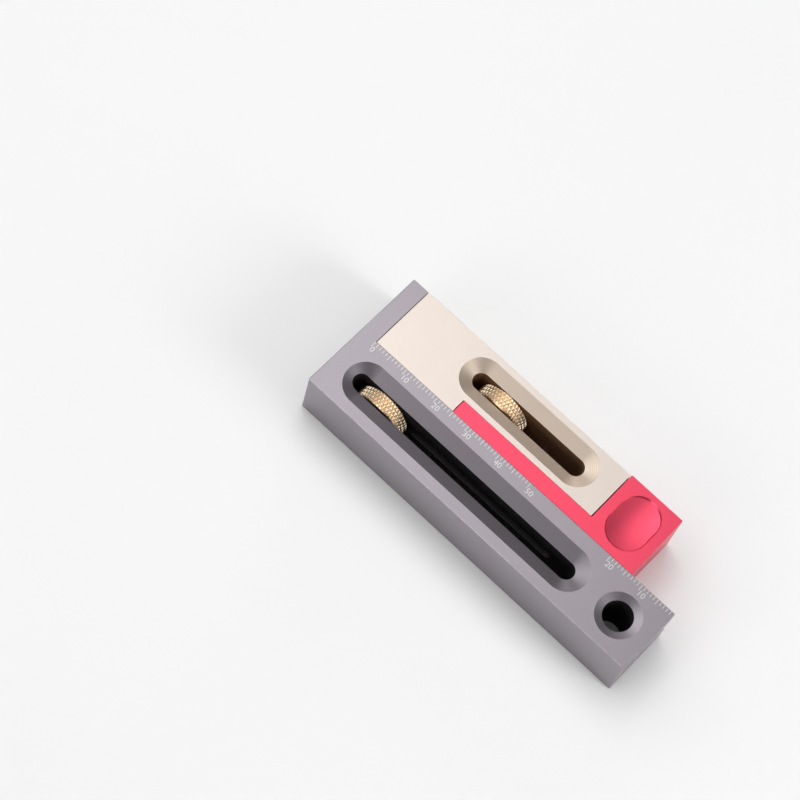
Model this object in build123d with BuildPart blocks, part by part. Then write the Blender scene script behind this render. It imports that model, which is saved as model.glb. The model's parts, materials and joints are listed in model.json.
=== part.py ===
"""Sliding gauge block with two lockable slides.

An L-shaped body carries a scale bar and a foot. A main slide runs along the bar, and a kerf slide
runs along the main slide. Each slide is held by a knurled thumb nut on a stud that reaches through
a slot in the wall of the next piece.

Frame: millimetres, +X along the scale bar away from the foot, +Y from the bar towards the slides,
+Z up through the thickness. The origin is the centre of the footprint, on the underside.
"""

import os

from build123d import *

# Overall size
overall_length = 100.0
thickness = 17.0
bar_width = 18.5
foot_thickness = 4.7

# Reach of the slides from the scale edge, along +Y
slide_reach = 18.55
head_reach = 18.8

# Stations measured from the scale's zero, along +X
slide_start = 0.15
slide_end = 65.4
step_start = 24.7
strip_start = 24.9
head_start = 65.65
head_end = 81.7
strip_width = 4.0

# Clearances and broken edges
slide_gap = 0.05
guide_gap = 0.05
edge_break = 0.2
seam_break = 0.06

# Flared pockets that the thumb nuts run in
pocket_width = 4.6
flare_depth = 1.6
body_pocket_span = (2.3, 72.2)
body_mouth_span = (0.1, 75.7)
body_mouth_width = 11.7
body_pocket_reach = -9.7
slide_pocket_span = (22.05, 56.85)
slide_mouth_span = (18.6, 60.2)
slide_mouth_width = 11.3
slide_pocket_reach = 11.15

# Hanging hole
hang_station = 86.05
hang_radius = 3.8
hang_rim_radius = 5.8
hang_rim_angle = 142.0

# Tongue-and-groove guides, at mid-thickness
groove_height = 6.0
groove_depth = 2.0
tongue_height = groove_height - 2 * guide_gap
tongue_depth = groove_depth - 2 * guide_gap

# Lock studs (M4), and the slots that they pass through
stud_radius = 2.0
stud_chamfer = 0.4
socket_across_flats = 2.0
socket_depth = 2.0
stud_slot_height = 4.3
stud_slot_room = 0.35
stud_recess = 0.05
main_stud_station = 11.47
main_stud_length = 20.0
main_travel = 50.5
kerf_stud_station = 31.4
kerf_stud_length = 12.0
kerf_travel = 16.0
tap_depth_room = 0.5

# Thumb nuts
nut_radius = 7.3
nut_width = 4.0
nut_chamfer = 0.4
nut_bore_radius = 2.05
nut_face_gap = 0.05
kerf_nut_slack = 0.5

# Thumb scoop in the kerf slide's head
scoop_station = 73.75
scoop_reach = 9.75
scoop_width = 10.9
scoop_length = 15.1
scoop_depth = 0.85
scoop_rim_slope = 45.0
scoop_curve_across = 24.0
scoop_curve_along = 60.0

# Places worked out from the dimensions above
mid_z = thickness / 2
foot_end_x = -overall_length / 2
zero_x = foot_end_x + foot_thickness
bar_end_x = overall_length / 2
bar_outer_y = -(bar_width + head_reach) / 2
scale_y = bar_outer_y + bar_width
body_groove_floor_y = scale_y - groove_depth
body_pocket_y = scale_y + body_pocket_reach
body_wall_y = body_pocket_y + pocket_width / 2
main_stud_tip_y = body_wall_y - nut_face_gap - nut_width + stud_recess
slide_face_y = scale_y + slide_gap
slide_outer_y = scale_y + slide_reach
slide_step_y = scale_y + strip_width + slide_gap
slide_groove_floor_y = slide_step_y + groove_depth
slide_pocket_y = scale_y + slide_pocket_reach
slide_wall_y = slide_pocket_y - pocket_width / 2
strip_outer_y = scale_y + strip_width
head_outer_y = scale_y + head_reach
scoop_y = scale_y + scoop_reach
kerf_nut_y = slide_wall_y + kerf_nut_slack
kerf_stud_tip_y = kerf_nut_y + nut_width - stud_recess


def at(station):
    """X position of a distance along the scale."""
    return zero_x + station


def outline(points):
    """A closed flat shape on the underside, from its corner points."""
    with BuildSketch() as shape:
        with BuildLine():
            Polyline(*points, close=True)
        make_face()
    return shape.sketch


def slot(plane, span, height, centre):
    """A round-ended slot on a plane, over a pair of stations."""
    with BuildSketch(plane) as shape:
        with Locations(((at(span[0]) + at(span[1])) / 2, centre)):
            SlotOverall(span[1] - span[0], height)
    return shape.sketch


def break_edges(outer_faces, seam_faces):
    """Break the edges of the outer faces, and lightly the rims of the faces that meet a neighbour."""
    seam_places = [face.center() for face in seam_faces]
    chamfer(ShapeList(edge for face in outer_faces for edge in face.edges()), edge_break)
    for place in seam_places:
        seam = faces().sort_by_distance(place)[0]
        rims = seam.edges().filter_by(Plane.XY).group_by(Axis.Z)
        chamfer(rims[0] + rims[-1], seam_break)


def rail(start_x, end_x, low_y, high_y, height, mode):
    """Add or cut a straight rectangular rail along X, at mid-thickness."""
    with BuildSketch(Plane.YZ.offset(start_x)) as section:
        with Locations(((low_y + high_y) / 2, mid_z)):
            Rectangle(high_y - low_y, height)
    extrude(section.sketch, amount=end_x - start_x, mode=mode)


def cut_flared_pocket(pocket_span, mouth_span, mouth_width, centre_y):
    """Cut a slot right through, with a wide sloped rim round it on both faces."""
    flare_run = (mouth_width - pocket_width) / 2
    throat_span = (mouth_span[0] + flare_run, mouth_span[1] - flare_run)
    extrude(slot(Plane.XY, pocket_span, pocket_width, centre_y), amount=thickness, mode=Mode.SUBTRACT)
    for face_z, throat_z in ((thickness, thickness - flare_depth), (0, flare_depth)):
        mouth = slot(Plane.XY.offset(face_z), mouth_span, mouth_width, centre_y)
        throat = slot(Plane.XY.offset(throat_z), throat_span, pocket_width, centre_y)
        loft([mouth, throat], ruled=True, mode=Mode.SUBTRACT)


def cut_stud_slot(high_y, low_y, stud_station, travel):
    """Cut the slot that a stud runs in, through the wall between two Y positions."""
    end_room = stud_slot_height / 2
    span = (stud_station - end_room, stud_station + travel + end_room + stud_slot_room)
    shape = slot(Plane.XZ.offset(-high_y), span, stud_slot_height, mid_z)
    extrude(shape, amount=high_y - low_y, mode=Mode.SUBTRACT)


def cut_stud_hole(stud_station, low_y, high_y):
    """Drill the tapped hole that holds a stud, along Y."""
    with BuildSketch(Plane.XZ.offset(-high_y)) as circle:
        with Locations((at(stud_station), mid_z)):
            Circle(stud_radius)
    extrude(circle.sketch, amount=high_y - low_y, mode=Mode.SUBTRACT)


def cut_scoop(face_z, side):
    """Cut a shallow thumb scoop: a slot outline with a sloped rim and a floor curved both ways."""
    middle_x = at(scoop_station)
    floor_z = face_z - side * scoop_depth
    axis_z = floor_z + side * scoop_curve_along
    arc_rise = scoop_curve_across - (scoop_curve_across**2 - scoop_width**2) ** 0.5
    left_x, right_x = middle_x - scoop_width, middle_x + scoop_width
    arc_end_z = floor_z + side * arc_rise
    with BuildPart(mode=Mode.PRIVATE) as scoop:
        with BuildSketch(Plane.XY.offset(face_z)) as rim:
            with Locations((middle_x, scoop_y)):
                SlotOverall(scoop_length, scoop_width, rotation=90)
        extrude(rim.sketch, amount=-side * scoop_depth, taper=scoop_rim_slope)
        with BuildSketch(Plane.XZ.offset(-scoop_y)) as section:
            with BuildLine():
                ThreePointArc((left_x, arc_end_z), (middle_x, floor_z), (right_x, arc_end_z))
                Polyline(
                    (right_x, arc_end_z), (right_x, axis_z), (left_x, axis_z), (left_x, arc_end_z)
                )
            make_face()
        swing_axis = Axis((middle_x, scoop_y, axis_z), (1, 0, 0))
        revolve(section.sketch, axis=swing_axis, mode=Mode.INTERSECT)
    add(scoop.part, mode=Mode.SUBTRACT)


def add_stud(stud_station, tip_y, root_y):
    """A headless stud along Y, with a hexagon socket in its tip."""
    tip_plane = Plane.XZ.offset(-tip_y)
    inward = 1 if tip_y > root_y else -1
    with BuildSketch(tip_plane) as circle:
        with Locations((at(stud_station), mid_z)):
            Circle(stud_radius)
    extrude(circle.sketch, amount=tip_y - root_y)
    chamfer(edges().filter_by(GeomType.CIRCLE), stud_chamfer)
    with BuildSketch(tip_plane) as hexagon:
        with Locations((at(stud_station), mid_z)):
            RegularPolygon(socket_across_flats / 2, 6, major_radius=False)
    extrude(hexagon.sketch, amount=inward * socket_depth, mode=Mode.SUBTRACT)


def add_nut(stud_station, low_y):
    """A round thumb nut on a stud, from its lower Y face."""
    with BuildSketch(Plane.XZ.offset(-low_y - nut_width)) as ring:
        with Locations((at(stud_station), mid_z)):
            Circle(nut_radius)
            Circle(nut_bore_radius, mode=Mode.SUBTRACT)
    extrude(ring.sketch, amount=nut_width)
    chamfer(edges().filter_by(GeomType.CIRCLE).group_by(SortBy.RADIUS)[-1], nut_chamfer)


# Body: scale bar and foot in one piece
with BuildPart() as gauge_body:
    l_shape = outline(
        [
            (foot_end_x, bar_outer_y),
            (bar_end_x, bar_outer_y),
            (bar_end_x, scale_y),
            (zero_x, scale_y),
            (zero_x, slide_outer_y),
            (foot_end_x, slide_outer_y),
        ]
    )
    extrude(l_shape, amount=thickness)
    upright = faces().filter_by(Axis.X) + faces().filter_by(Axis.Y)
    inner_faces = upright.sort_by_distance((zero_x, scale_y, mid_z))[:2]
    break_edges(upright - inner_faces, inner_faces)
    rail(zero_x, bar_end_x, body_groove_floor_y, scale_y, groove_height, Mode.SUBTRACT)
    cut_flared_pocket(body_pocket_span, body_mouth_span, body_mouth_width, body_pocket_y)
    cut_stud_slot(body_groove_floor_y, body_wall_y, main_stud_station, main_travel)
    hole_top = Plane((at(hang_station), body_pocket_y, thickness))
    hole_underside = Plane((at(hang_station), body_pocket_y, 0), z_dir=(0, 0, -1))
    with Locations(hole_top, hole_underside):
        CounterSinkHole(hang_radius, hang_rim_radius, thickness, hang_rim_angle)

# Main slide: a block with a tongue for the body's groove, stepped to clear the kerf slide's strip
with BuildPart() as main_slide:
    stepped = outline(
        [
            (at(slide_start), slide_face_y),
            (at(step_start), slide_face_y),
            (at(step_start), slide_step_y),
            (at(slide_end), slide_step_y),
            (at(slide_end), slide_outer_y),
            (at(slide_start), slide_outer_y),
        ]
    )
    extrude(stepped, amount=thickness)
    upright = faces().filter_by(Axis.X) + faces().filter_by(Axis.Y)
    outer_face = upright.sort_by(Axis.Y)[-1:]
    break_edges(outer_face, upright - outer_face)
    tongue_tip_y = slide_face_y - tongue_depth
    rail(at(slide_start), at(step_start), tongue_tip_y, slide_face_y, tongue_height, Mode.ADD)
    rail(at(step_start), at(slide_end), slide_step_y, slide_groove_floor_y, groove_height, Mode.SUBTRACT)
    cut_flared_pocket(slide_pocket_span, slide_mouth_span, slide_mouth_width, slide_pocket_y)
    cut_stud_slot(slide_wall_y, slide_groove_floor_y, kerf_stud_station, kerf_travel)
    main_hole_end_y = main_stud_tip_y + main_stud_length + tap_depth_room
    cut_stud_hole(main_stud_station, tongue_tip_y, main_hole_end_y)

# Kerf slide: a thin strip with a tongue for the main slide's groove, and a head with thumb scoops
with BuildPart() as kerf_slide:
    strip_and_head = outline(
        [
            (at(strip_start), slide_face_y),
            (at(head_end), slide_face_y),
            (at(head_end), head_outer_y),
            (at(head_start), head_outer_y),
            (at(head_start), strip_outer_y),
            (at(strip_start), strip_outer_y),
        ]
    )
    extrude(strip_and_head, amount=thickness)
    upright = faces().filter_by(Axis.X) + faces().filter_by(Axis.Y)
    end_faces = upright.sort_by(Axis.Y)[-1:] + upright.sort_by(Axis.X)[-1:]
    break_edges(end_faces, upright - end_faces)
    tongue_tip_y = strip_outer_y + tongue_depth
    rail(at(strip_start), at(head_start), strip_outer_y, tongue_tip_y, tongue_height, Mode.ADD)
    cut_stud_hole(kerf_stud_station, slide_face_y, tongue_tip_y)
    for face_z, side in ((thickness, 1), (0, -1)):
        cut_scoop(face_z, side)

# Lock studs: each is fixed in its slide, and its tip stands in the next piece's pocket
with BuildPart() as main_lock_stud:
    add_stud(main_stud_station, main_stud_tip_y, main_stud_tip_y + main_stud_length)

with BuildPart() as kerf_lock_stud:
    add_stud(kerf_stud_station, kerf_stud_tip_y, kerf_stud_tip_y - kerf_stud_length)

# Thumb nuts: the main one is tight against the body's wall, the kerf one is slack
with BuildPart() as main_thumb_nut:
    add_nut(main_stud_station, body_wall_y - nut_face_gap - nut_width)

with BuildPart() as kerf_thumb_nut:
    add_nut(kerf_stud_station, kerf_nut_y)

pieces = {
    "gauge_body": gauge_body,
    "main_slide": main_slide,
    "kerf_slide": kerf_slide,
    "main_lock_stud": main_lock_stud,
    "kerf_lock_stud": kerf_lock_stud,
    "main_thumb_nut": main_thumb_nut,
    "kerf_thumb_nut": kerf_thumb_nut,
}
os.makedirs("parts", exist_ok=True)
for name, piece in pieces.items():
    piece.part.label = name
    export_step(piece.part, f"parts/{name}.step")
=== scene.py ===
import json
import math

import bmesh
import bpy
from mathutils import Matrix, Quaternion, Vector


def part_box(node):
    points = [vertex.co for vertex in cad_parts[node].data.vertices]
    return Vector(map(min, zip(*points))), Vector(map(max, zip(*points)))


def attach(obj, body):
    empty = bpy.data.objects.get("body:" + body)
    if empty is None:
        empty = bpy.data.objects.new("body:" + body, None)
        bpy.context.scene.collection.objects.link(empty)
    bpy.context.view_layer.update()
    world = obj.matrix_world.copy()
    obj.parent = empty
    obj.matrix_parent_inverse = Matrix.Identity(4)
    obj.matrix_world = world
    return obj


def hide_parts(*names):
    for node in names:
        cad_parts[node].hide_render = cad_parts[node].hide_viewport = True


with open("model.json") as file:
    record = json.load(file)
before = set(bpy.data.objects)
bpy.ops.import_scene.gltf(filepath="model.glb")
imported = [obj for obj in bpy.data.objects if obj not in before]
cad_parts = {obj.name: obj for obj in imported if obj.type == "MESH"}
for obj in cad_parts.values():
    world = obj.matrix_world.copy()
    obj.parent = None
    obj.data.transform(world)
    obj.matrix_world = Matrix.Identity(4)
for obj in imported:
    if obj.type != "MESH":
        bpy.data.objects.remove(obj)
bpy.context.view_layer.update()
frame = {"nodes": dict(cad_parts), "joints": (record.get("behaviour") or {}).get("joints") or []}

# Looks of the marking gauge: materials, knurled nuts, threaded studs, the scale and the studio.
#
# Lengths are in metres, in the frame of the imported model: +X along the scale bar, +Y towards the
# slides, +Z up. Places for station() and opening() are in millimetres from the scale's zero corner.
# The three blocks keep their CAD shapes. The nuts and studs get detailed meshes.

MM = 0.001

# ---------------------------------------------------------------- places taken from the frame

body_low, body_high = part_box("gauge_body")
joints = {joint["name"]: joint for joint in frame["joints"]}

FOOT_THICKNESS = 4.7 * MM
BAR_WIDTH = 18.5 * MM
zero_x = body_low.x + FOOT_THICKNESS
scale_y = body_low.y + BAR_WIDTH
top_z = body_high.z


def station(along, reach):
    """X and Y of a place given in millimetres from the scale's zero corner."""
    return zero_x + along * MM, scale_y + reach * MM


# ---------------------------------------------------------------- camera

CAMERA_AIM = Vector((-0.0312, -0.00705, 0.017))
CAMERA_AZIMUTH = 24.83
CAMERA_ELEVATION = 66.93
CAMERA_ROLL = 19.40
CAMERA_DISTANCE = 0.6536
CAMERA_LENS = 124.86  # focal length and sensor width, in millimetres as Blender takes them
SENSOR_WIDTH = 36.0
CLIP_START = 0.01


def make_camera():
    """A long lens that looks down on the tool, rolled about its own axis."""
    azimuth = math.radians(CAMERA_AZIMUTH)
    elevation = math.radians(CAMERA_ELEVATION)
    back = Vector(
        (
            math.sin(azimuth) * math.cos(elevation),
            -math.cos(azimuth) * math.cos(elevation),
            math.sin(elevation),
        )
    )
    data = bpy.data.cameras.new("camera")
    data.lens = CAMERA_LENS
    data.sensor_width = SENSOR_WIDTH
    data.clip_start = CLIP_START
    camera = bpy.data.objects.new("camera", data)
    camera.location = CAMERA_AIM + back * CAMERA_DISTANCE
    camera.rotation_mode = "QUATERNION"
    roll = Quaternion((0, 0, 1), math.radians(CAMERA_ROLL))
    camera.rotation_quaternion = (-back).to_track_quat("-Z", "Y") @ roll
    bpy.context.scene.collection.objects.link(camera)
    bpy.context.scene.camera = camera


# ---------------------------------------------------------------- node helper


class Graph:
    """A material's node tree, with short calls that add a node and join it up."""

    def __init__(self, name):
        self.material = bpy.data.materials.new(name)
        self.material.use_nodes = True
        self.tree = self.material.node_tree
        self.tree.nodes.clear()
        self.coords = self.add("ShaderNodeTexCoord").outputs["Object"]
        self.surface = self.add("ShaderNodeBsdfPrincipled")
        output = self.add("ShaderNodeOutputMaterial")
        self.tree.links.new(self.surface.outputs["BSDF"], output.inputs["Surface"])

    def add(self, kind, **settings):
        node = self.tree.nodes.new(kind)
        for name, value in settings.items():
            setattr(node, name, value)
        return node

    def feed(self, socket, value):
        """Join a socket to another node's output, or set it to a plain value."""
        if isinstance(value, bpy.types.NodeSocket):
            self.tree.links.new(value, socket)
        else:
            socket.default_value = value

    def set(self, **inputs):
        """Feed the shader's own sockets, by name with underscores for spaces."""
        for name, value in inputs.items():
            self.feed(self.surface.inputs[name.replace("_", " ")], value)

    def calc(self, operation, first, second=0.0, third=0.0):
        node = self.add("ShaderNodeMath", operation=operation)
        for socket, value in zip(node.inputs, (first, second, third)):
            self.feed(socket, value)
        return node.outputs[0]

    def vector_calc(self, operation, first, second=(0.0, 0.0, 0.0)):
        node = self.add("ShaderNodeVectorMath", operation=operation)
        self.feed(node.inputs[0], first)
        self.feed(node.inputs[1], second)
        return node.outputs[0]

    def length(self, vector):
        node = self.add("ShaderNodeVectorMath", operation="LENGTH")
        self.feed(node.inputs[0], vector)
        return node.outputs["Value"]

    def split(self, vector):
        node = self.add("ShaderNodeSeparateXYZ")
        self.feed(node.inputs[0], vector)
        return node.outputs[0], node.outputs[1], node.outputs[2]

    def join(self, x, y, z):
        node = self.add("ShaderNodeCombineXYZ")
        for socket, value in zip(node.inputs, (x, y, z)):
            self.feed(socket, value)
        return node.outputs[0]

    def noise(self, size, detail=2.0, roughness=0.5):
        """Noise with features about that size, in metres, from 0 to 1."""
        node = self.add("ShaderNodeTexNoise")
        self.feed(node.inputs["Vector"], self.coords)
        node.inputs["Scale"].default_value = 1 / size
        node.inputs["Detail"].default_value = detail
        node.inputs["Roughness"].default_value = roughness
        return node.outputs["Fac"]

    def remap(self, value, low, high, to_low, to_high):
        node = self.add("ShaderNodeMapRange", clamp=True)
        for name, number in (
            ("Value", value),
            ("From Min", low),
            ("From Max", high),
            ("To Min", to_low),
            ("To Max", to_high),
        ):
            self.feed(node.inputs[name], number)
        return node.outputs["Result"]

    def blend(self, factor, first, second, kind="MIX"):
        """Mix two colours, or multiply the first by the second."""
        node = self.add("ShaderNodeMix", data_type="RGBA", blend_type=kind)
        self.feed(node.inputs["Factor"], factor)
        self.feed(node.inputs["A"], first)
        self.feed(node.inputs["B"], second)
        return node.outputs["Result"]

    def bump(self, height, distance, strength=1.0, normal=None):
        node = self.add("ShaderNodeBump")
        self.feed(node.inputs["Height"], height)
        node.inputs["Distance"].default_value = distance
        node.inputs["Strength"].default_value = strength
        if normal is not None:
            self.feed(node.inputs["Normal"], normal)
        return node.outputs["Normal"]


def grey(value):
    return (value, value, value, 1.0)


# ---------------------------------------------------------------- materials

BLAST_GRAIN = 0.11 * MM
BLAST_RELIEF = 0.012 * MM
CLOUD_SIZE = 9.0 * MM
CUTTER_PITCH = 0.46 * MM
CUTTER_RELIEF = 0.005 * MM
RIM_REACH = 7.0 * MM
END_TOLERANCE = 0.01 * MM
SLOPE_RISES = (0.85, 0.985)  # how level the sloped rims lie, between walls at 0 and faces at 1
SQUARE_FACE = 0.80  # the largest part of a broken edge's normal is below this
WALL_ROUGHNESS = 0.8
RUB_SIZE = 1.2 * MM
BRASS_PATCH_SIZE = 1.3 * MM
TURNING_GRAIN = 0.08 * MM
PLATING_MOTTLE = 0.6 * MM
MARK_GRAIN = 0.12 * MM
FLOOR_PATCH_SIZE = 0.12


def opening_fields(graph, openings):
    """Distance from the nearest opening's centreline, then 1 inside it and 1 round its ends.

    openings are (low X, high X, Y, half width) of each opening's centreline and its walls.
    """
    x, y, _ = graph.split(graph.coords)
    reach, walls, ends = 1.0, 0.0, 0.0
    for low, high, centre_y, half_width in openings:
        nearest = graph.calc("MINIMUM", graph.calc("MAXIMUM", x, low), high)
        off_x = graph.calc("SUBTRACT", x, nearest)
        off_y = graph.calc("SUBTRACT", y, centre_y)
        distance = graph.length(graph.join(off_x, off_y, 0.0))
        past_end = graph.calc("GREATER_THAN", graph.calc("ABSOLUTE", off_x), END_TOLERANCE)
        near = graph.calc("LESS_THAN", distance, RIM_REACH)
        reach = graph.calc("MINIMUM", reach, distance)
        walls = graph.calc("MAXIMUM", walls, graph.calc("LESS_THAN", distance, half_width))
        ends = graph.calc("MAXIMUM", ends, graph.calc("MULTIPLY", past_end, near))
    return reach, walls, ends


def face_kinds(graph):
    """1 on the sloped rims of the openings, and 1 on the broken edges between flat faces."""
    normal = graph.add("ShaderNodeNewGeometry").outputs["True Normal"]
    along, across, rise = graph.split(graph.vector_calc("ABSOLUTE", normal))
    steepest, flattest = SLOPE_RISES
    tilted = graph.calc("LESS_THAN", rise, flattest)
    slopes = graph.calc("MULTIPLY", tilted, graph.calc("GREATER_THAN", rise, steepest))
    squarest = graph.calc("MAXIMUM", graph.calc("MAXIMUM", along, across), rise)
    return slopes, graph.calc("LESS_THAN", squarest, SQUARE_FACE)


def anodised(name, colours, speckle_depth, roughness, openings):
    """Bead-blasted, anodised aluminium.

    colours are for the faces, the milled rims and the walls inside the openings: the wall colour is
    painted shade, and the champagne rim colour is warmed as painted reflected light. The
    rims have rings from the cutter round their ends, and the broken edges are rubbed and bright.
    """
    graph = Graph(name)
    grain = graph.noise(BLAST_GRAIN, detail=3.0, roughness=0.6)
    cloud = graph.noise(CLOUD_SIZE, detail=2.0)
    slopes, edges = face_kinds(graph)
    reach, walls, ends = opening_fields(graph, openings)

    turns = graph.calc("SINE", graph.calc("MULTIPLY", reach, 2 * math.pi / CUTTER_PITCH))
    rings = graph.calc("MULTIPLY", turns, graph.calc("MULTIPLY", slopes, ends))

    rubbed = graph.remap(graph.noise(RUB_SIZE, detail=3.0), 0.3, 0.7, 1.05, 1.35)
    speckle = graph.remap(grain, 0.30, 0.70, 1.01 - speckle_depth, 1.01 + speckle_depth)
    tone = graph.calc("MULTIPLY", speckle, graph.remap(cloud, 0.3, 0.7, 0.985, 1.01))
    tone = graph.calc("MULTIPLY", tone, graph.remap(rings, -1.0, 1.0, 0.93, 1.07))
    edge_tone = graph.calc("MULTIPLY", tone, rubbed)
    face_colour, rim_colour_and_bounce, wall_shade = colours
    # Inside the openings' walls the colour is painted shade. On the champagne rims it carries
    # painted warm reflected light.
    finish_and_wall_shade = graph.blend(walls, graph.blend(slopes, face_colour, rim_colour_and_bounce), wall_shade)
    plain = graph.blend(1.0, finish_and_wall_shade, tone, "MULTIPLY")
    edged = graph.blend(1.0, finish_and_wall_shade, edge_tone, "MULTIPLY")
    graph.set(Base_Color=graph.blend(edges, plain, edged))

    graph.set(Metallic=graph.calc("SUBTRACT", 1.0, walls) if openings else 1.0)
    graph.set(Specular_IOR_Level=0.05)
    mottled = graph.remap(grain, 0.25, 0.75, roughness - 0.035, roughness + 0.035)
    wall_roughness = graph.calc("MULTIPLY", walls, WALL_ROUGHNESS)
    graph.set(Roughness=graph.calc("MAXIMUM", mottled, wall_roughness))

    blasted = graph.bump(grain, BLAST_RELIEF, 0.35)
    graph.set(Normal=graph.bump(rings, CUTTER_RELIEF, 1.0, blasted))
    return graph.material


def knurled_brass():
    """Pale brass, turned and knurled, a little darker in the grooves as painted shade."""
    graph = Graph("knurled_brass")
    relief = graph.add("ShaderNodeAttribute", attribute_name="relief").outputs["Fac"]
    patch = graph.noise(BRASS_PATCH_SIZE, detail=3.0)
    bright = graph.blend(patch, (1.0, 0.80, 0.57, 1.0), (1.0, 0.84, 0.62, 1.0))
    # Painted shade: the colour darkens towards the bottom of each groove.
    groove_shade = graph.remap(relief, 0.0, 0.7, 1.0, 0.0)
    graph.set(Base_Color=graph.blend(groove_shade, bright, (0.94, 0.68, 0.43, 1.0)))
    graph.set(Metallic=1.0)
    fine = graph.noise(TURNING_GRAIN, detail=2.0)
    graph.set(Roughness=graph.remap(fine, 0.2, 0.8, 0.27, 0.35))
    graph.set(Normal=graph.bump(fine, 0.002 * MM, 0.3))
    return graph.material


def plated_steel():
    """Zinc-plated steel for the studs."""
    graph = Graph("plated_steel")
    mottle = graph.noise(PLATING_MOTTLE, detail=4.0)
    graph.set(Base_Color=graph.blend(mottle, (0.42, 0.42, 0.43, 1.0), (0.58, 0.58, 0.57, 1.0)))
    graph.set(Metallic=1.0)
    graph.set(Roughness=graph.remap(mottle, 0.2, 0.8, 0.28, 0.42))
    graph.set(Normal=graph.bump(mottle, 0.004 * MM, 0.3))
    return graph.material


def scale_marking():
    """Marks cut through the anodising to bright metal, slightly uneven."""
    graph = Graph("scale_marking")
    cover = graph.noise(MARK_GRAIN, detail=2.0)
    graph.set(Base_Color=graph.blend(cover, grey(0.62), grey(0.80)))
    graph.set(Metallic=0.9)
    graph.set(Roughness=graph.remap(cover, 0.2, 0.8, 0.40, 0.52))
    graph.set(Normal=graph.bump(cover, 0.004 * MM, 0.3))
    return graph.material


def pale_floor():
    graph = Graph("pale_floor")
    patch = graph.noise(FLOOR_PATCH_SIZE, detail=3.0)
    graph.set(Base_Color=graph.blend(patch, grey(0.83), grey(0.86)))
    graph.set(Roughness=0.8)
    return graph.material


# ---------------------------------------------------------------- mesh helpers


def add_piece(name, mesh, material, body):
    """Turn a mesh into a piece of the object that rides on a CAD body."""
    mesh.materials.append(material)
    piece = bpy.data.objects.new(name, mesh)
    bpy.context.scene.collection.objects.link(piece)
    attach(piece, body)
    return piece


def lathe_mesh(name, rings, centre, capped):
    """Join rings of (radius, along) points into a closed skin round an axis along Y.

    Each ring has one point per column. capped closes both ends with a fan, and otherwise the last
    ring joins the first, as round a nut's bore.
    """
    columns = len(rings[0])
    verts = []
    for ring in rings:
        for column, (radius, along) in enumerate(ring):
            angle = 2 * math.pi * column / columns
            verts.append(
                (
                    centre.x + radius * math.cos(angle),
                    centre.y + along,
                    centre.z + radius * math.sin(angle),
                )
            )
    faces = []
    pairs = len(rings) if not capped else len(rings) - 1
    for row in range(pairs):
        near = row * columns
        far = (row + 1) % len(rings) * columns
        for column in range(columns):
            following = (column + 1) % columns
            corners = (near + column, near + following, far + following, far + column)
            faces += split_quad(corners, rings, columns, row, column)
    if capped:
        for ring_index, reverse in ((0, True), (len(rings) - 1, False)):
            hub = len(verts)
            verts.append((centre.x, centre.y + rings[ring_index][0][1], centre.z))
            start = ring_index * columns
            for column in range(columns):
                edge = (start + column, start + (column + 1) % columns)
                faces.append((edge[1], edge[0], hub) if reverse else (edge[0], edge[1], hub))
    mesh = bpy.data.meshes.new(name)
    mesh.from_pydata(verts, [], faces)
    bm = bmesh.new()
    bm.from_mesh(mesh)
    bmesh.ops.recalc_face_normals(bm, faces=bm.faces)
    bm.to_mesh(mesh)
    bm.free()
    return mesh


def split_quad(corners, rings, columns, row, column):
    """Two triangles, cut along the diagonal whose ends differ least in radius."""
    following = (column + 1) % columns
    other = (row + 1) % len(rings)
    first = abs(rings[row][column][0] - rings[other][following][0])
    second = abs(rings[row][following][0] - rings[other][column][0])
    a, b, c, d = corners
    if first <= second:
        return [(a, b, c), (a, c, d)]
    return [(a, b, d), (b, c, d)]


# ---------------------------------------------------------------- thumb nuts

KNURL_COUNT = 48  # diamonds round the nut
KNURL_LENGTH = 2.06 * MM  # one diamond, along the nut's axis
KNURL_DEPTH = 0.26 * MM
KNURL_ROUNDING = 0.85  # the groove wave's height at which a diamond's top is level
KNURL_STEPS = 16  # mesh columns and rows per diamond
KNURL_FIRST_ROW = 0.62 * MM
NUT_CLAMP_EDGE = 0.60 * MM  # chamfers on the clamping side, on the free side and in the bore
NUT_FREE_EDGE = 0.35 * MM
NUT_BORE_EDGE = 0.35 * MM
NUT_BORE_RADIUS = 2.05 * MM
NUT_SIDE_RINGS = (2.2 * MM, 1.0 * MM)  # in from the rim, on each flat side
RIM_MARGIN = 0.04 * MM  # mesh rows nearer than this to a side of the nut are left out


def groove_wave(phase):
    """0 at the bottom of a groove, 1 half-way between two grooves."""
    return 1 - abs(2 * (phase % 1) - 1)


def knurl_relief(turn, along):
    """Height of the diamond knurl, from 0 in the grooves to 1 on the rounded tops."""
    around = turn * KNURL_COUNT + 0.5
    lengthwise = along / KNURL_LENGTH
    lowest = min(groove_wave(around + lengthwise), groove_wave(around - lengthwise))
    return math.sin(min(lowest / KNURL_ROUNDING, 1.0) * math.pi / 2)


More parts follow.
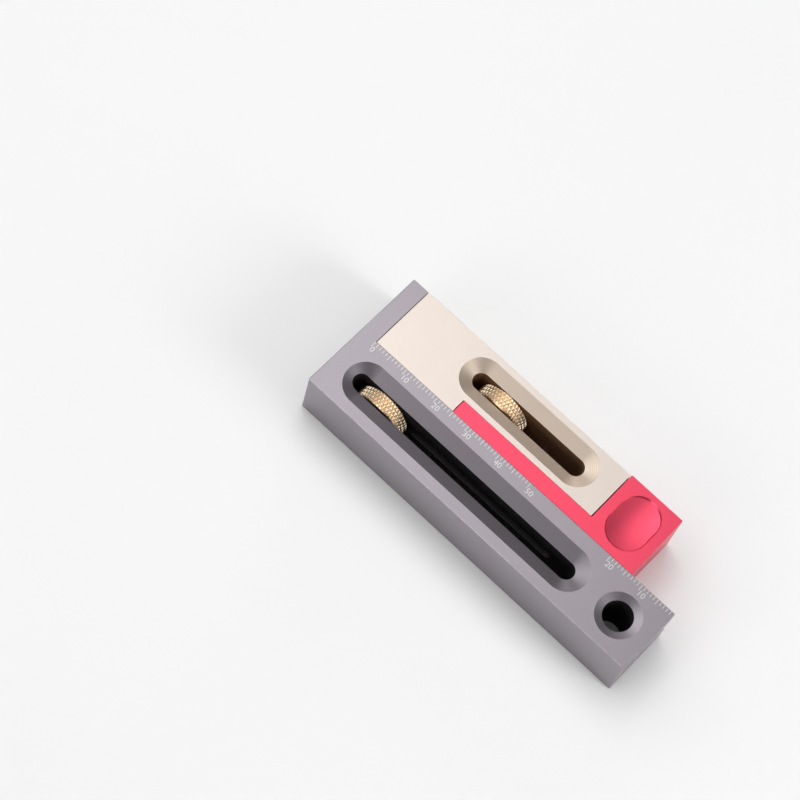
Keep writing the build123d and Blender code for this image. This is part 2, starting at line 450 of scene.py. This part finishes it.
def nut_rings(radius, width, outward):
    """Rings from the bore, over one side, the knurled rim and the other side, back to the bore.

    outward is +1 where the nut's free side faces +Y, and -1 where it faces -Y. The rows of
    diamonds are counted from the clamping side.
    """
    columns = KNURL_COUNT * KNURL_STEPS
    step = KNURL_LENGTH / KNURL_STEPS
    first = -int(KNURL_FIRST_ROW / step) - 1
    rim_places = [KNURL_FIRST_ROW + step * n for n in range(first, int(width / step))]
    inside = [place for place in rim_places if RIM_MARGIN < place < width - RIM_MARGIN]
    rim = [0.0] + inside + [width]
    half = width / 2
    flat = [radius - inset for inset in NUT_SIDE_RINGS]
    side = [NUT_BORE_RADIUS, NUT_BORE_RADIUS + NUT_BORE_EDGE] + flat
    side_drop = [NUT_BORE_EDGE, 0.0, 0.0, 0.0]
    rings = []
    for ring_radius, drop in zip(side, side_drop):
        rings.append([(ring_radius, outward * (drop - half))] * columns)
    for place in rim:
        cut = max(NUT_CLAMP_EDGE - place, NUT_FREE_EDGE - (width - place), 0.0)
        ring = []
        for column in range(columns):
            relief = knurl_relief(column / columns, place - KNURL_FIRST_ROW)
            ring.append((radius - max(KNURL_DEPTH * (1 - relief), cut), outward * (place - half)))
        rings.append(ring)
    for ring_radius, drop in zip(reversed(side), reversed(side_drop)):
        rings.append([(ring_radius, outward * (half - drop))] * columns)
    return rings


def make_nut(node, joint_name, outward, material):
    """A knurled thumb nut in place of the plain CAD ring."""
    low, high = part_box(node)
    centre = (low + high) / 2
    radius = (high.x - low.x) / 2
    rings = nut_rings(radius, high.y - low.y, outward)
    mesh = lathe_mesh(node + "_knurled", rings, centre, capped=False)
    relief = mesh.attributes.new("relief", "FLOAT", "POINT")
    heights = []
    for vertex in mesh.vertices:
        reach = math.hypot(vertex.co.x - centre.x, vertex.co.z - centre.z)
        heights.append(min(max(1 - (radius - reach) / KNURL_DEPTH, 0.0), 1.0))
    relief.data.foreach_set("value", heights)
    piece = add_piece(mesh.name, mesh, material, joints[joint_name]["child"])
    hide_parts(node)


# ---------------------------------------------------------------- lock studs

THREAD_PITCH = 0.7 * MM
THREAD_DEPTH = 0.38 * MM
THREAD_STEPS = 8
STUD_COLUMNS = 48
SOCKET_HALF_WIDTH = 1.0 * MM
SOCKET_DEPTH = 2.0 * MM
STUD_EDGE = 0.4 * MM


def hexagon_reach(turn):
    """Distance from the socket's axis to its wall."""
    sixth = (turn * 6) % 1 - 0.5
    return SOCKET_HALF_WIDTH / math.cos(sixth * math.pi / 3)


def stud_rings(radius, length, outward):
    """Rings of a threaded stud, from the bottom of its socket over the tip to its root."""
    turns = [column / STUD_COLUMNS for column in range(STUD_COLUMNS)]
    tip = outward * length / 2
    floor_along = tip - outward * SOCKET_DEPTH
    rings = [
        [(hexagon_reach(turn), floor_along) for turn in turns],
        [(hexagon_reach(turn), tip) for turn in turns],
        [(radius - STUD_EDGE, tip)] * STUD_COLUMNS,
    ]
    step = THREAD_PITCH / THREAD_STEPS
    count = int(length / step)
    for row in range(1, count):
        place = row * length / count
        limit = radius - STUD_EDGE + min(place, length - place, STUD_EDGE)
        ring = []
        for turn in turns:
            wave = groove_wave(place / THREAD_PITCH - turn)
            ring.append((min(radius - THREAD_DEPTH * (1 - wave), limit), tip - outward * place))
        rings.append(ring)
    rings.append([(radius - STUD_EDGE, -tip)] * STUD_COLUMNS)
    return rings


def make_stud(node, body, outward, material):
    """A threaded stud in place of the plain CAD cylinder."""
    low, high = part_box(node)
    rings = stud_rings((high.x - low.x) / 2, high.y - low.y, outward)
    mesh = lathe_mesh(node + "_threaded", rings, (low + high) / 2, capped=True)
    piece = add_piece(mesh.name, mesh, material, body)
    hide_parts(node)


# ---------------------------------------------------------------- marked scale

MARK_HEIGHT = 0.012 * MM
TICK_WIDTH = 0.17 * MM
DIGIT_HEIGHT = 1.50 * MM
DIGIT_SHARE = 0.70  # a digit's height, as a share of the font's size
WELD_DISTANCE = 0.0005 * MM

# Places on the bar, in millimetres from the scale's zero corner, as station() takes them
TICK_START = 0.10
TICK_ENDS = {10: 1.75, 5: 1.60, 1: 1.15}
DIGIT_BASE = -2.85
DIGIT_SHIFT = 0.15
BAR_END = 95.3
LONG_SCALE = 50
SHORT_SCALE = 20


def tick_end(number):
    """How far the mark for a whole millimetre reaches from the scale edge."""
    for step in (10, 5):
        if number % step == 0:
            return TICK_ENDS[step]
    return TICK_ENDS[1]


def add_tick(bm, along, end):
    """A thin bar, half sunk in the surface."""
    x, near_y = station(along, -TICK_START)
    _, far_y = station(along, -end)
    corners = []
    for z in (top_z - MARK_HEIGHT, top_z + MARK_HEIGHT):
        corners.append(
            [
                bm.verts.new((x - TICK_WIDTH / 2, far_y, z)),
                bm.verts.new((x + TICK_WIDTH / 2, far_y, z)),
                bm.verts.new((x + TICK_WIDTH / 2, near_y, z)),
                bm.verts.new((x - TICK_WIDTH / 2, near_y, z)),
            ]
        )
    under, over = corners
    bm.faces.new(reversed(under))
    bm.faces.new(over)
    for n in range(4):
        after = (n + 1) % 4
        bm.faces.new((under[n], under[after], over[after], over[n]))


def add_number(bm, text, along):
    """A generic number beside its mark, with the scale edge above it."""
    data = bpy.data.curves.new("number", "FONT")
    data.body = text
    data.size = DIGIT_HEIGHT / DIGIT_SHARE
    data.extrude = MARK_HEIGHT
    data.resolution_u = 3
    number = bpy.data.objects.new("number", data)
    bpy.context.scene.collection.objects.link(number)
    x, y = station(along + DIGIT_SHIFT, DIGIT_BASE)
    number.location = (x, y, top_z)
    bpy.context.view_layer.update()
    depsgraph = bpy.context.evaluated_depsgraph_get()
    mesh = bpy.data.meshes.new_from_object(number.evaluated_get(depsgraph))
    mesh.transform(number.matrix_world)
    bm.from_mesh(mesh)
    bpy.data.objects.remove(number)
    bpy.data.meshes.remove(mesh)


def is_level(face):
    """Whether all of a face's corners are at one height."""
    heights = [vertex.co.z for vertex in face.verts]
    return max(heights) - min(heights) < WELD_DISTANCE


def weld_numbers(bm):
    """Close the numbers' seams, and turn the edges of their flat faces so that none is a sliver."""
    bmesh.ops.remove_doubles(bm, verts=bm.verts, dist=WELD_DISTANCE)
    bmesh.ops.triangulate(bm, faces=bm.faces)
    level_faces = [face for face in bm.faces if is_level(face)]
    level_edges = [edge for edge in bm.edges if all(is_level(face) for face in edge.link_faces)]
    bmesh.ops.beautify_fill(bm, faces=level_faces, edges=level_edges)


def make_scale(material):
    """The two scales: 0 to 50 from the foot, and 20 to 1 from the bar's end."""
    marks = bmesh.new()
    for number in range(LONG_SCALE + 1):
        add_tick(marks, number, tick_end(number))
    for number in range(1, SHORT_SCALE + 1):
        add_tick(marks, BAR_END - number, tick_end(number))
    numbers = bmesh.new()
    for number in range(0, LONG_SCALE + 1, 10):
        add_number(numbers, str(number), number)
    for number in range(10, SHORT_SCALE + 1, 10):
        add_number(numbers, str(number), BAR_END - number)
    weld_numbers(numbers)
    for name, bm in (("scale_marks", marks), ("scale_numbers", numbers)):
        mesh = bpy.data.meshes.new(name)
        bm.to_mesh(mesh)
        bm.free()
        add_piece(name, mesh, material, "gauge_body")


# ---------------------------------------------------------------- studio

SOFTBOX_DISTANCE = 0.9
FLOOR_LIGHT_HEIGHT = 2.0
FLOOR_LIGHT_SIZE = 2.0
FLOOR_LIGHT_POWER = 6.5
FLOOR_SIZE = 6.0
FLOOR_GAP = 0.02 * MM
SURROUND_STRENGTH = 0.21


def add_softbox(name, azimuth, elevation, size, power):
    """A round softbox that faces the tool. Azimuth 0 is +X and 90 is +Y."""
    around, up = math.radians(azimuth), math.radians(elevation)
    away = Vector((math.cos(around) * math.cos(up), math.sin(around) * math.cos(up), math.sin(up)))
    data = bpy.data.lights.new(name, "AREA")
    data.shape = "DISK"
    data.size = size
    data.energy = power
    softbox = bpy.data.objects.new(name, data)
    softbox.location = away * SOFTBOX_DISTANCE
    softbox.rotation_mode = "QUATERNION"
    softbox.rotation_quaternion = (-away).to_track_quat("-Z", "Y")
    bpy.context.scene.collection.objects.link(softbox)


def add_softboxes():
    """A high key behind the tool, a wide window on its left, low lights round it and two fills."""
    add_softbox("high_key", azimuth=130, elevation=70, size=0.55, power=1.3)
    add_softbox("left_window", azimuth=172, elevation=50, size=0.80, power=1.8)
    add_softbox("left_front", azimuth=225, elevation=58, size=0.40, power=0.35)
    add_softbox("right_fill", azimuth=25, elevation=58, size=0.60, power=0.45)
    add_softbox("right_low", azimuth=8, elevation=28, size=0.40, power=1.7)
    add_softbox("front_low", azimuth=257, elevation=28, size=0.50, power=1.4)
    add_softbox("back_low", azimuth=120, elevation=14, size=0.36, power=0.4)


def light_floor(floor):
    """A large overhead light for the floor alone, so that it stays pale."""
    receivers = bpy.data.collections.new("floor_only")
    receivers.objects.link(floor)
    data = bpy.data.lights.new("floor_light", "AREA")
    data.shape = "SQUARE"
    data.size = FLOOR_LIGHT_SIZE
    data.energy = FLOOR_LIGHT_POWER
    light = bpy.data.objects.new("floor_light", data)
    light.location = (0, 0, FLOOR_LIGHT_HEIGHT)
    light.light_linking.receiver_collection = receivers
    bpy.context.scene.collection.objects.link(light)


def make_studio():
    """A pale floor, softboxes and a dim even surround."""
    bpy.ops.mesh.primitive_plane_add(size=FLOOR_SIZE, location=(0, 0, body_low.z - FLOOR_GAP))
    floor = bpy.context.object
    floor.name = "floor"
    floor.data.materials.append(pale_floor())
    light_floor(floor)

    world = bpy.data.worlds.new("studio")
    world.use_nodes = True
    background = world.node_tree.nodes["Background"]
    background.inputs["Color"].default_value = (1.0, 1.0, 1.0, 1.0)
    background.inputs["Strength"].default_value = SURROUND_STRENGTH
    bpy.context.scene.world = world
    add_softboxes()
    bpy.context.scene.view_settings.view_transform = "Standard"


# ---------------------------------------------------------------- the object

GREY = (0.33, 0.30, 0.33, 1.0)
# GREY_WALL_SHADE is painted shade for the deep insides of the body's pocket and hanging hole.
GREY_WALL_SHADE = (0.026, 0.024, 0.026, 1.0)
CHAMPAGNE = (0.80, 0.71, 0.645, 1.0)
# CHAMPAGNE_RIM_BOUNCE is the champagne warmed on the milled rims: painted warm reflected light.
CHAMPAGNE_RIM_BOUNCE = (0.86, 0.72, 0.60, 1.0)
# CHAMPAGNE_WALL_SHADE is painted shade inside the slide's pocket, tinted brown as painted
# reflection from the brass nut.
CHAMPAGNE_WALL_SHADE = (0.20, 0.11, 0.06, 1.0)
RED = (0.83, 0.083, 0.142, 1.0)

# Openings: centreline from and to along the scale, reach from the scale edge, and half width,
# all in millimetres. The margin puts an opening's own walls inside its half width.
BODY_POCKET = (4.6, 69.9, -9.7, 2.3)
HANG_HOLE = (86.05, 86.05, -9.7, 3.8)
SLIDE_POCKET = (24.35, 54.55, 11.15, 2.3)
WALL_MARGIN = 0.03


def dress(node, material):
    """Give a CAD block its anodised material."""
    for slot in frame["nodes"][node].material_slots:
        slot.link = "OBJECT"
        slot.material = material


def opening(low, high, reach, half_width):
    """A milled opening's centreline and half width, from millimetres to the model's frame."""
    low_x, centre_y = station(low, reach)
    high_x, _ = station(high, reach)
    return low_x, high_x, centre_y, (half_width + WALL_MARGIN) * MM


def dress_blocks():
    """Anodised finishes for the three CAD blocks."""
    grey_anodised = anodised(
        "grey_anodised",
        colours=(GREY, GREY, GREY_WALL_SHADE),
        speckle_depth=0.035,
        roughness=0.375,
        openings=[opening(*BODY_POCKET), opening(*HANG_HOLE)],
    )
    champagne_anodised = anodised(
        "champagne_anodised",
        colours=(CHAMPAGNE, CHAMPAGNE_RIM_BOUNCE, CHAMPAGNE_WALL_SHADE),
        speckle_depth=0.05,
        roughness=0.46,
        openings=[opening(*SLIDE_POCKET)],
    )
    red_anodised = anodised(
        "red_anodised",
        colours=(RED, RED, RED),
        speckle_depth=0.03,
        roughness=0.375,
        openings=[],
    )
    dress("gauge_body", grey_anodised)
    dress("main_slide", champagne_anodised)
    dress("kerf_slide", red_anodised)


make_camera()
dress_blocks()
brass = knurled_brass()
steel = plated_steel()
make_nut("main_thumb_nut", "main_nut_turn", -1, brass)
make_nut("kerf_thumb_nut", "kerf_nut_turn", 1, brass)
make_stud("main_lock_stud", "main_slide", -1, steel)
make_stud("kerf_lock_stud", "kerf_slide", 1, steel)
make_scale(scale_marking())
make_studio()
